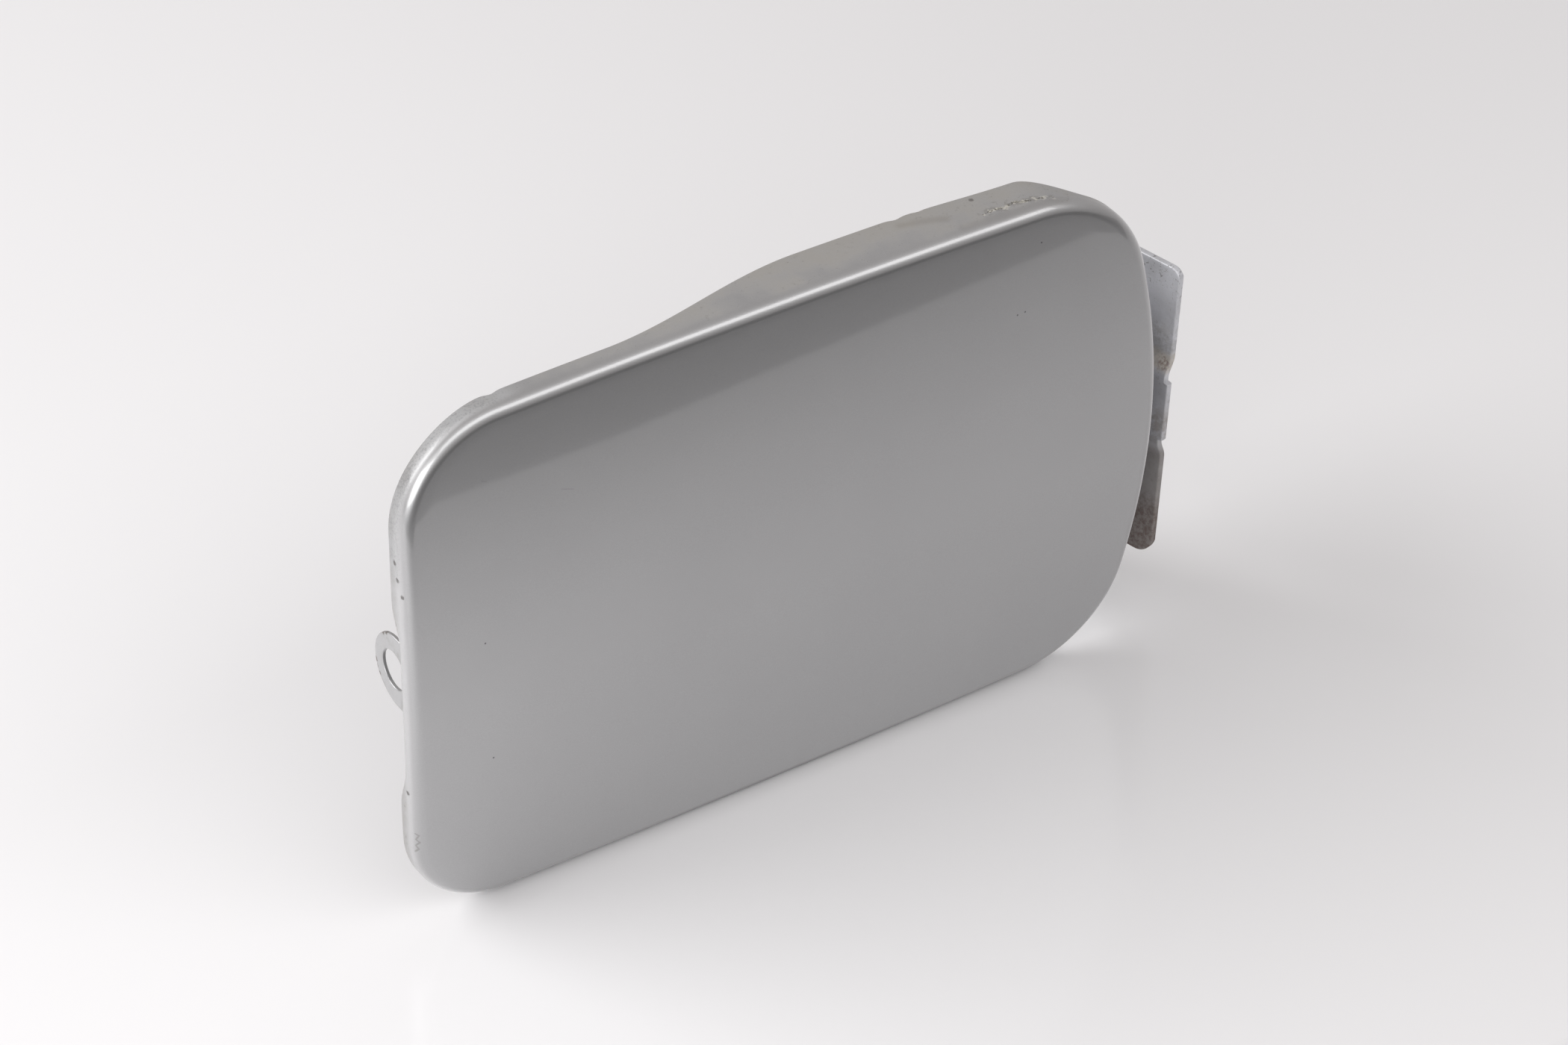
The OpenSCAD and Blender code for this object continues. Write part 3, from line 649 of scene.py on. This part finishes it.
def silverPaint():
    # Metallic basecoat under a thin clear coat; the inside and the flange are dull and dirty
    f = Finish("silver paint, worn")
    inside = f.attribute("inside")
    grain = f.noise(5.0, detail=2.0, rough=0.6)
    cloud = f.noise(0.03, detail=4.0, rough=0.55)
    haze = f.noise(0.12, detail=5.0, rough=0.6, shift=(7, 3, 1))
    onFlange = f.step(f.y, 1.0, 3.4) * (1 - inside)
    offMiddle = f.maths("POWER", (f.z - midHeight) * (1 / midHeight), 2.0)
    rise = f.y + door["crown"] - door["crown"] * offMiddle
    # Painted highlight: the base colour is lighter where the sheet rises from the face over the rolled edge
    # and onto the flange
    rollHighlight = f.step(rise, 0.2, 1.6)
    faceSilver = f.mix(grain, (0.38, 0.38, 0.385), (0.46, 0.46, 0.465))
    silver = f.mix(rollHighlight, faceSilver, f.mix(grain, (0.50, 0.50, 0.505), (0.60, 0.60, 0.605)))
    silver = f.mix(f.step(cloud, 0.35, 0.75) * 0.12, silver, (0.36, 0.36, 0.37))

    # Dirt on the flange grows towards its rear edge, and is speckled at the catch-side corner
    grime = f.step(haze + f.y * 0.03, 0.42, 0.95) * onFlange
    speckle = f.step(f.noise(0.9, detail=4.0, rough=0.7), 0.60, 0.72) * onFlange
    atCorner = f.step(f.x, *wear["cornerAcross"]) * f.step(f.z, *wear["cornerUp"])
    atCorner = atCorner * f.step(rise, 1.2, 3.0) * (1 - inside)
    fine = f.noise(2.2, detail=5.0, rough=0.75, shift=(1, 6, 2)) + haze * 0.25
    fine = f.step(fine, 0.62, 0.74) * atCorner
    colour = f.mix(grime * 0.55, silver, (0.30, 0.275, 0.235))
    colour = f.mix(speckle * 0.45, colour, (0.16, 0.15, 0.14))
    colour = f.mix(fine * 0.6, colour, (0.20, 0.20, 0.21))
    colour = f.mix(atCorner * 0.5, colour, (0.36, 0.36, 0.365))

    # Cracked patch with yellowish filler near the top corner of the hinge side
    ragged = f.noise(1.3, detail=5.0, rough=0.7)
    nearCrack = f.nearLine(wear["crack"])
    patch = nearCrack + (ragged - 0.5) * 3.0
    filler = f.step(patch, 0.65, 0.2) * f.step(f.noise(0.6, detail=4.0, shift=(2, 9, 4)), 0.44, 0.52)
    broken = f.step(f.noise(0.5, detail=3.0, shift=(8, 2, 4)), 0.45, 0.6)
    rim = f.step(patch, 1.3, 0.9) * (1 - filler) * broken
    crackLine = nearCrack + (f.noise(0.7, detail=4.0, rough=0.7, shift=(5, 1, 8)) - 0.5) * 2.8
    crack = f.step(f.maths("ABSOLUTE", crackLine), 0.24, 0.06)
    stain = f.step(f.nearLine(wear["stain"]) + (haze - 0.5) * 2.4, 1.8, 0.4)
    smudge = f.step(f.nearLine(wear["smudge"]) + (haze - 0.5) * 3.0, 2.0, 0.2)
    colour = f.mix(f.maths("MAXIMUM", stain * 0.12, smudge * 0.2), colour, (0.20, 0.165, 0.125))
    colour = f.mix(rim * 0.3, colour, (0.19, 0.17, 0.14))
    colour = f.mix(filler * 0.6, colour, (0.50, 0.475, 0.40))
    colour = f.mix(crack * 0.85, colour, (0.10, 0.09, 0.075))

    # Chips at the edges, small specks on the face, and a painted highlight: a yellowish glint near the top
    # corner of the catch side
    squiggle = f.nearLine(wear["squiggle"]) + (ragged - 0.5) * 0.35
    chips = f.step(squiggle, 0.28, 0.12)
    edgeChips = f.step(f.nearPoints(wear["edgeChips"]) + (ragged - 0.5) * 1.2, 0.7, 0.35)
    specks = f.step(f.nearPoints(wear["specks"]), 0.26, 0.14)
    # Painted highlight: a small yellowish glint line on the rolled edge
    glint = f.step(f.nearLine(wear["glint"]), 0.35, 0.12)
    colour = f.mix(chips * 0.55, colour, (0.20, 0.19, 0.18))
    colour = f.mix(edgeChips * 0.8, colour, (0.11, 0.10, 0.095))
    colour = f.mix(specks * 0.9, colour, (0.045, 0.045, 0.05))
    colour = f.mix(glint, colour, (0.95, 0.88, 0.62))
    for line in wear["scratches"]:
        colour = f.mix(f.step(f.nearLine(line), 0.16, 0.05) * 0.4, colour, (0.27, 0.27, 0.28))

    # Painted contact shade: a dark line along the bottom where the door stands on the table
    foot = f.step(f.z, *wear["foot"]) * (1 - inside)
    colour = f.mix(foot * 0.8, colour, (0.05, 0.05, 0.052))

    # Inside: overspray on primer, flat and greyer
    overspray = f.mix(f.step(haze, 0.35, 0.7), (0.44, 0.44, 0.445), (0.33, 0.33, 0.33))
    colour = f.mix(inside, colour, overspray)
    bare = f.most(chips, edgeChips, filler, crack)
    dirty = f.most(grime, speckle, atCorner)
    worn = 0.10 * onFlange + 0.30 * atCorner
    rough = 0.36 + 0.05 * cloud + worn + 0.18 * dirty + 0.30 * bare + 0.16 * inside
    height = (1 - bare) + 0.03 * grain
    return f.close({
        "Base Color": colour,
        "Metallic": 1 - 0.75 * f.most(dirty * 0.6, specks, bare) - 0.25 * inside,
        "Roughness": rough,
        "Coat Weight": (1 - bare) * (1 - onFlange * 0.85) * (1 - inside),
        "Coat Roughness": 0.05,
        "Coat IOR": 1.6,
        "Normal": f.bump(height, 0.35, 0.00012),
    })


# Heights of the marks on the leg: a band has its middle, outer reach and inner reach, a ramp its two ends
armWear = {
    "legAcross": (92.0, 96.0),
    "pitsRamp": (78.0, 84.5),
    "cloudBand": (69.5, 6.5, 1.5),
    "creamBand": (64.6, 3.2, 1.0),
    "seatBand": (48.5, 6.5, 1.5),
    "redRust": (98.9, 7.4, 64.0),
    "brownRamp": (46.0, 40.0),
    "lowRamp": (31.0, 21.0),
}


def armPaint():
    # Thin silver on steel, with grime in the pressed seat, pits near the top and rust at the bottom
    f = Finish("arm paint, grimy")
    inside = f.attribute("inside")
    grain = f.noise(4.0, detail=2.0)
    cloud = f.noise(0.10, detail=5.0, rough=0.6)
    blotch = f.noise(0.35, detail=6.0, rough=0.7, shift=(3, 5, 2))
    pits = f.step(f.noise(1.1, detail=6.0, rough=0.8, shift=(2, 2, 7)), 0.56, 0.62)
    colour = f.mix(grain, (0.60, 0.605, 0.64), (0.68, 0.685, 0.72))
    colour = f.mix(f.step(cloud, 0.38, 0.7) * 0.45, colour, (0.37, 0.37, 0.38))
    onLeg = f.step(f.x, *armWear["legAcross"])

    # Specks under the leg's top edge, a dark cloud and a cream and rusty patch above the seat
    nearTop = f.step(f.z, *armWear["pitsRamp"]) * onLeg
    darkCloud = f.band(*armWear["cloudBand"]) * onLeg * f.step(blotch, 0.36, 0.60)
    mottle = f.noise(1.5, detail=6.0, rough=0.75, shift=(3, 5, 1))
    cream = f.band(*armWear["creamBand"]) * onLeg * f.step(mottle, 0.36, 0.50)
    redRust = f.step(f.nearPoints([armWear["redRust"]]) + (blotch - 0.5) * 4.0, 2.4, 0.8)
    redRust = redRust * f.step(mottle, 0.56, 0.44)
    seatGrime = f.band(*armWear["seatBand"]) * onLeg * f.step(blotch, 0.38, 0.58)
    colour = f.mix(darkCloud * 0.55, colour, (0.23, 0.22, 0.21))
    colour = f.mix(cream * 0.75, colour, (0.50, 0.46, 0.40))
    colour = f.mix(redRust * 0.7, colour, (0.20, 0.12, 0.085))
    colour = f.mix(seatGrime * 0.65, colour, (0.24, 0.205, 0.18))

    # Below the seat the coat is brown with dirt, and the lowest part rusty
    brown = f.step(f.z, *armWear["brownRamp"]) * onLeg
    low = f.step(f.z + (cloud - 0.5) * 14.0, *armWear["lowRamp"]) * onLeg
    colour = f.mix(brown * (0.65 + 0.3 * blotch), colour, (0.21, 0.19, 0.175))
    rust = f.step(f.noise(0.8, detail=6.0, rough=0.75, shift=(9, 1, 4)), 0.40, 0.62) * low
    colour = f.mix(low * 0.5, colour, (0.15, 0.12, 0.105))
    colour = f.mix(rust * 0.7, colour, (0.095, 0.06, 0.047))
    speck = pits * (0.3 + 0.7 * nearTop) * onLeg
    colour = f.mix(speck * 0.75, colour, (0.11, 0.10, 0.09))

    # Ring marks of the spot welds on the pad
    weld = f.nearPoints([(x, door["sheet"], z) for x in arm["weldColumns"] for z in arm["weldRows"]])
    dimple = f.step(weld, 3.2, 2.2)
    ring = f.step(weld, 2.4, 2.9) * f.step(weld, 3.9, 3.2)
    colour = f.mix(ring * 0.35, colour, (0.24, 0.23, 0.22))
    dull = f.most(brown, cream, seatGrime, darkCloud)
    height = grain * 0.05 - pits * 0.35 - dimple * 1.2 - rust * blotch * 0.5
    return f.close({
        "Base Color": colour,
        "Metallic": 0.45 - 0.35 * dull,
        "Roughness": 0.46 + 0.3 * dull + 0.1 * cloud,
        "Coat Weight": 0.25 * (1 - dull),
        "Coat Roughness": 0.25,
        "Normal": f.bump(height, 0.5, 0.00015),
    })


def eyePaint():
    # Silver on the catch bracket, chipped along the eye's edge
    f = Finish("catch paint, chipped")
    grain = f.noise(4.0, detail=2.0)
    ragged = f.noise(1.5, detail=5.0, rough=0.7)
    chips = f.step(f.nearPoints(wear["eyeChips"]) + (ragged - 0.5) * 1.6, 0.8, 0.4)
    grime = f.step(f.noise(0.25, detail=5.0, rough=0.65), 0.5, 0.75)
    colour = f.mix(grain, (0.45, 0.45, 0.455), (0.52, 0.52, 0.525))
    colour = f.mix(grime * 0.35, colour, (0.34, 0.32, 0.29))
    colour = f.mix(chips * 0.85, colour, (0.12, 0.10, 0.085))
    return f.close({
        "Base Color": colour,
        "Metallic": 0.9 - 0.7 * chips,
        "Roughness": 0.40 + 0.2 * grime + 0.25 * chips,
        "Coat Weight": 0.4 * (1 - chips),
        "Coat Roughness": 0.2,
        "Normal": f.bump(1 - chips + grain * 0.05, 0.4, 0.0001),
    })


def platedSteel():
    # Dull zinc with a crystalline grain and light rust in spots
    f = Finish("zinc plate, dull")
    cells = {"Vector": f.place, "Scale": 0.9}
    crystal = f.node("ShaderNodeTexVoronoi", {"feature": "F1"}, cells, output="Color")
    tone = f.node("ShaderNodeRGBToBW", inputs={"Color": crystal})
    cloud = f.noise(0.25, detail=5.0, rough=0.6)
    rust = f.step(f.noise(0.5, detail=6.0, rough=0.7, shift=(4, 4, 4)), 0.60, 0.74)
    colour = f.mix(tone, (0.46, 0.455, 0.44), (0.54, 0.535, 0.52))
    colour = f.mix(f.step(cloud, 0.4, 0.7) * 0.5, colour, (0.38, 0.37, 0.34))
    colour = f.mix(rust * 0.7, colour, (0.19, 0.115, 0.07))
    return f.close({
        "Base Color": colour,
        "Metallic": 0.95 - 0.75 * rust,
        "Roughness": 0.38 + 0.1 * tone + 0.3 * rust,
        "Normal": f.bump(cloud * 0.4 + rust * 0.6, 0.3, 0.00012),
    })


def springSteel():
    # Dark blued strip with fine lines along it
    f = Finish("spring steel, dark")
    lines = f.noise(2.0, detail=3.0, stretch=(0.15, 0.15, 3.0))
    oil = f.noise(0.3, detail=4.0)
    colour = f.mix(lines, (0.20, 0.195, 0.19), (0.30, 0.29, 0.28))
    colour = f.mix(f.step(oil, 0.45, 0.7) * 0.4, colour, (0.13, 0.11, 0.09))
    return f.close({
        "Base Color": colour,
        "Metallic": 1.0,
        "Roughness": 0.32 + 0.15 * oil,
        "Normal": f.bump(lines, 0.15, 0.00005),
    })


def tableTop():
    # Glossy near-white sheet
    f = Finish("white table")
    return f.close({"Base Color": (0.84, 0.835, 0.845, 1), "Roughness": 0.16, "Specular IOR Level": 0.5})


skinFinish = silverPaint()
armFinish = armPaint()
buildSkin(skinFinish)
buildArm(armFinish)
print("skin and arm built")

finishes = {"silver_paint": eyePaint(), "plated_steel": platedSteel(), "spring_steel": springSteel()}
for node, (name, body, slot, width) in smallPieces.items():
    brokenEdges(node, name, body, width, finishes[slot])
print("hinge and catch finished")


# Table, lamps and camera

studio = {
    "reach": 3.0,  # metres from the middle of the table to its edges
    "aim": (0, 0, 0.06),  # the lamps point here
    "worldLevel": 0.48,
    "worldColour": (1.0, 0.965, 0.955),
    "darkEdge": ((-3000.0, -145.0), (40.0, -145.0), (3000.0, -420.0)),  # rear edge of the dark card
    "darkTone": 0.13,
    "darkLift": 0.0004,
    # direction from the door, distance, size and radiance of each softbox
    "backLeft": ((-0.70, 0.46, 0.56), 1.15, (1.0, 0.8), 3.7),
    "left": ((-0.74, -0.62, 0.22), 0.7, (0.40, 0.36), 3.6),
    "frontTop": ((0.12, -0.68, 0.70), 1.3, (1.8, 0.5), 2.0),
}


def plainSheet(name, corners, finish):
    # One flat face through the corners, which belongs to the stage and not to the object
    mesh = bpy.data.meshes.new(name)
    mesh.from_pydata(corners, [], [tuple(range(len(corners)))])
    mesh.materials.append(finish)
    piece = bpy.data.objects.new(name, mesh)
    bpy.context.scene.collection.objects.link(piece)
    return piece


def softBox(name, direction, distance, size, level):
    # An area lamp of that radiance: power = level · pi · area
    lamp = bpy.data.lights.new(name, "AREA")
    lamp.shape = "RECTANGLE"
    lamp.size, lamp.size_y = size
    lamp.energy = level * math.pi * size[0] * size[1]
    piece = bpy.data.objects.new(name, lamp)
    away = np.array(direction) / np.linalg.norm(direction)
    back = Matrix.Identity(3)
    back.col[2] = away
    back.col[0] = np.cross((0, 0, 1), away) / np.linalg.norm(np.cross((0, 0, 1), away))
    back.col[1] = np.cross(back.col[2], back.col[0])
    piece.matrix_world = Matrix.Translation(away * distance + np.array(studio["aim"])) @ back.to_4x4()
    piece.visible_camera = False
    bpy.context.scene.collection.objects.link(piece)
    return piece


def buildStudio():
    # The table, a dark card that only reflections see, three soft lamps and an even world
    reach = studio["reach"]
    floorCorners = [(-reach, -reach, 0), (reach, -reach, 0), (reach, reach, 0), (-reach, reach, 0)]
    plainSheet("table", floorCorners, tableTop())
    shade = Finish("dark room in front")
    tone = studio["darkTone"]
    flat = {"Base Color": (tone, tone, tone, 1), "Roughness": 0.9, "Specular IOR Level": 0.0}
    lift = studio["darkLift"]
    edge = [((x + home[0]) * mm, (y + home[1]) * mm, lift) for x, y in reversed(studio["darkEdge"])]
    corners = [(-reach, -reach, lift), (reach, -reach, lift), *edge]
    card = plainSheet("dark_card", corners, shade.close(flat))
    for ray in ("visible_camera", "visible_diffuse", "visible_shadow", "visible_transmission"):
        setattr(card, ray, False)
    for name in ("backLeft", "left", "frontTop"):
        softBox(name, *studio[name])
    world = bpy.data.worlds.new("studio")
    world.use_nodes = True
    background = world.node_tree.nodes["Background"]
    background.inputs["Color"].default_value = (*studio["worldColour"], 1)
    background.inputs["Strength"].default_value = studio["worldLevel"]
    bpy.context.scene.world = world


# The camera was worked out from the door's outline in the photograph; its place is in millimetres
camera = {
    "place": (-425.93, -627.83, 638.07),
    "right": (0.83407547, -0.55152992, 0.01152602),
    "down": (-0.32425543, -0.50705879, -0.79859239),
    "ahead": (0.44629197, 0.66234895, -0.60176187),
    "focalPixels": 6309.44,
    "widthPixels": 2100,
}


def buildCamera():
    # A lens of that focal length, turned so that its axes are right, up and back
    made = bpy.data.cameras.new("camera")
    made.sensor_width = 36
    made.lens = camera["focalPixels"] / camera["widthPixels"] * made.sensor_width
    made.clip_end = 20
    piece = bpy.data.objects.new("camera", made)
    turn = Matrix.Identity(3)
    turn.col[0] = camera["right"]
    turn.col[1] = [-v for v in camera["down"]]
    turn.col[2] = [-v for v in camera["ahead"]]
    piece.matrix_world = Matrix.Translation((np.array(camera["place"]) + home) * mm) @ turn.to_4x4()
    bpy.context.scene.collection.objects.link(piece)
    bpy.context.scene.camera = piece


buildStudio()
buildCamera()
bpy.context.scene.view_settings.view_transform = "Standard"
print("table, lamps and camera set")
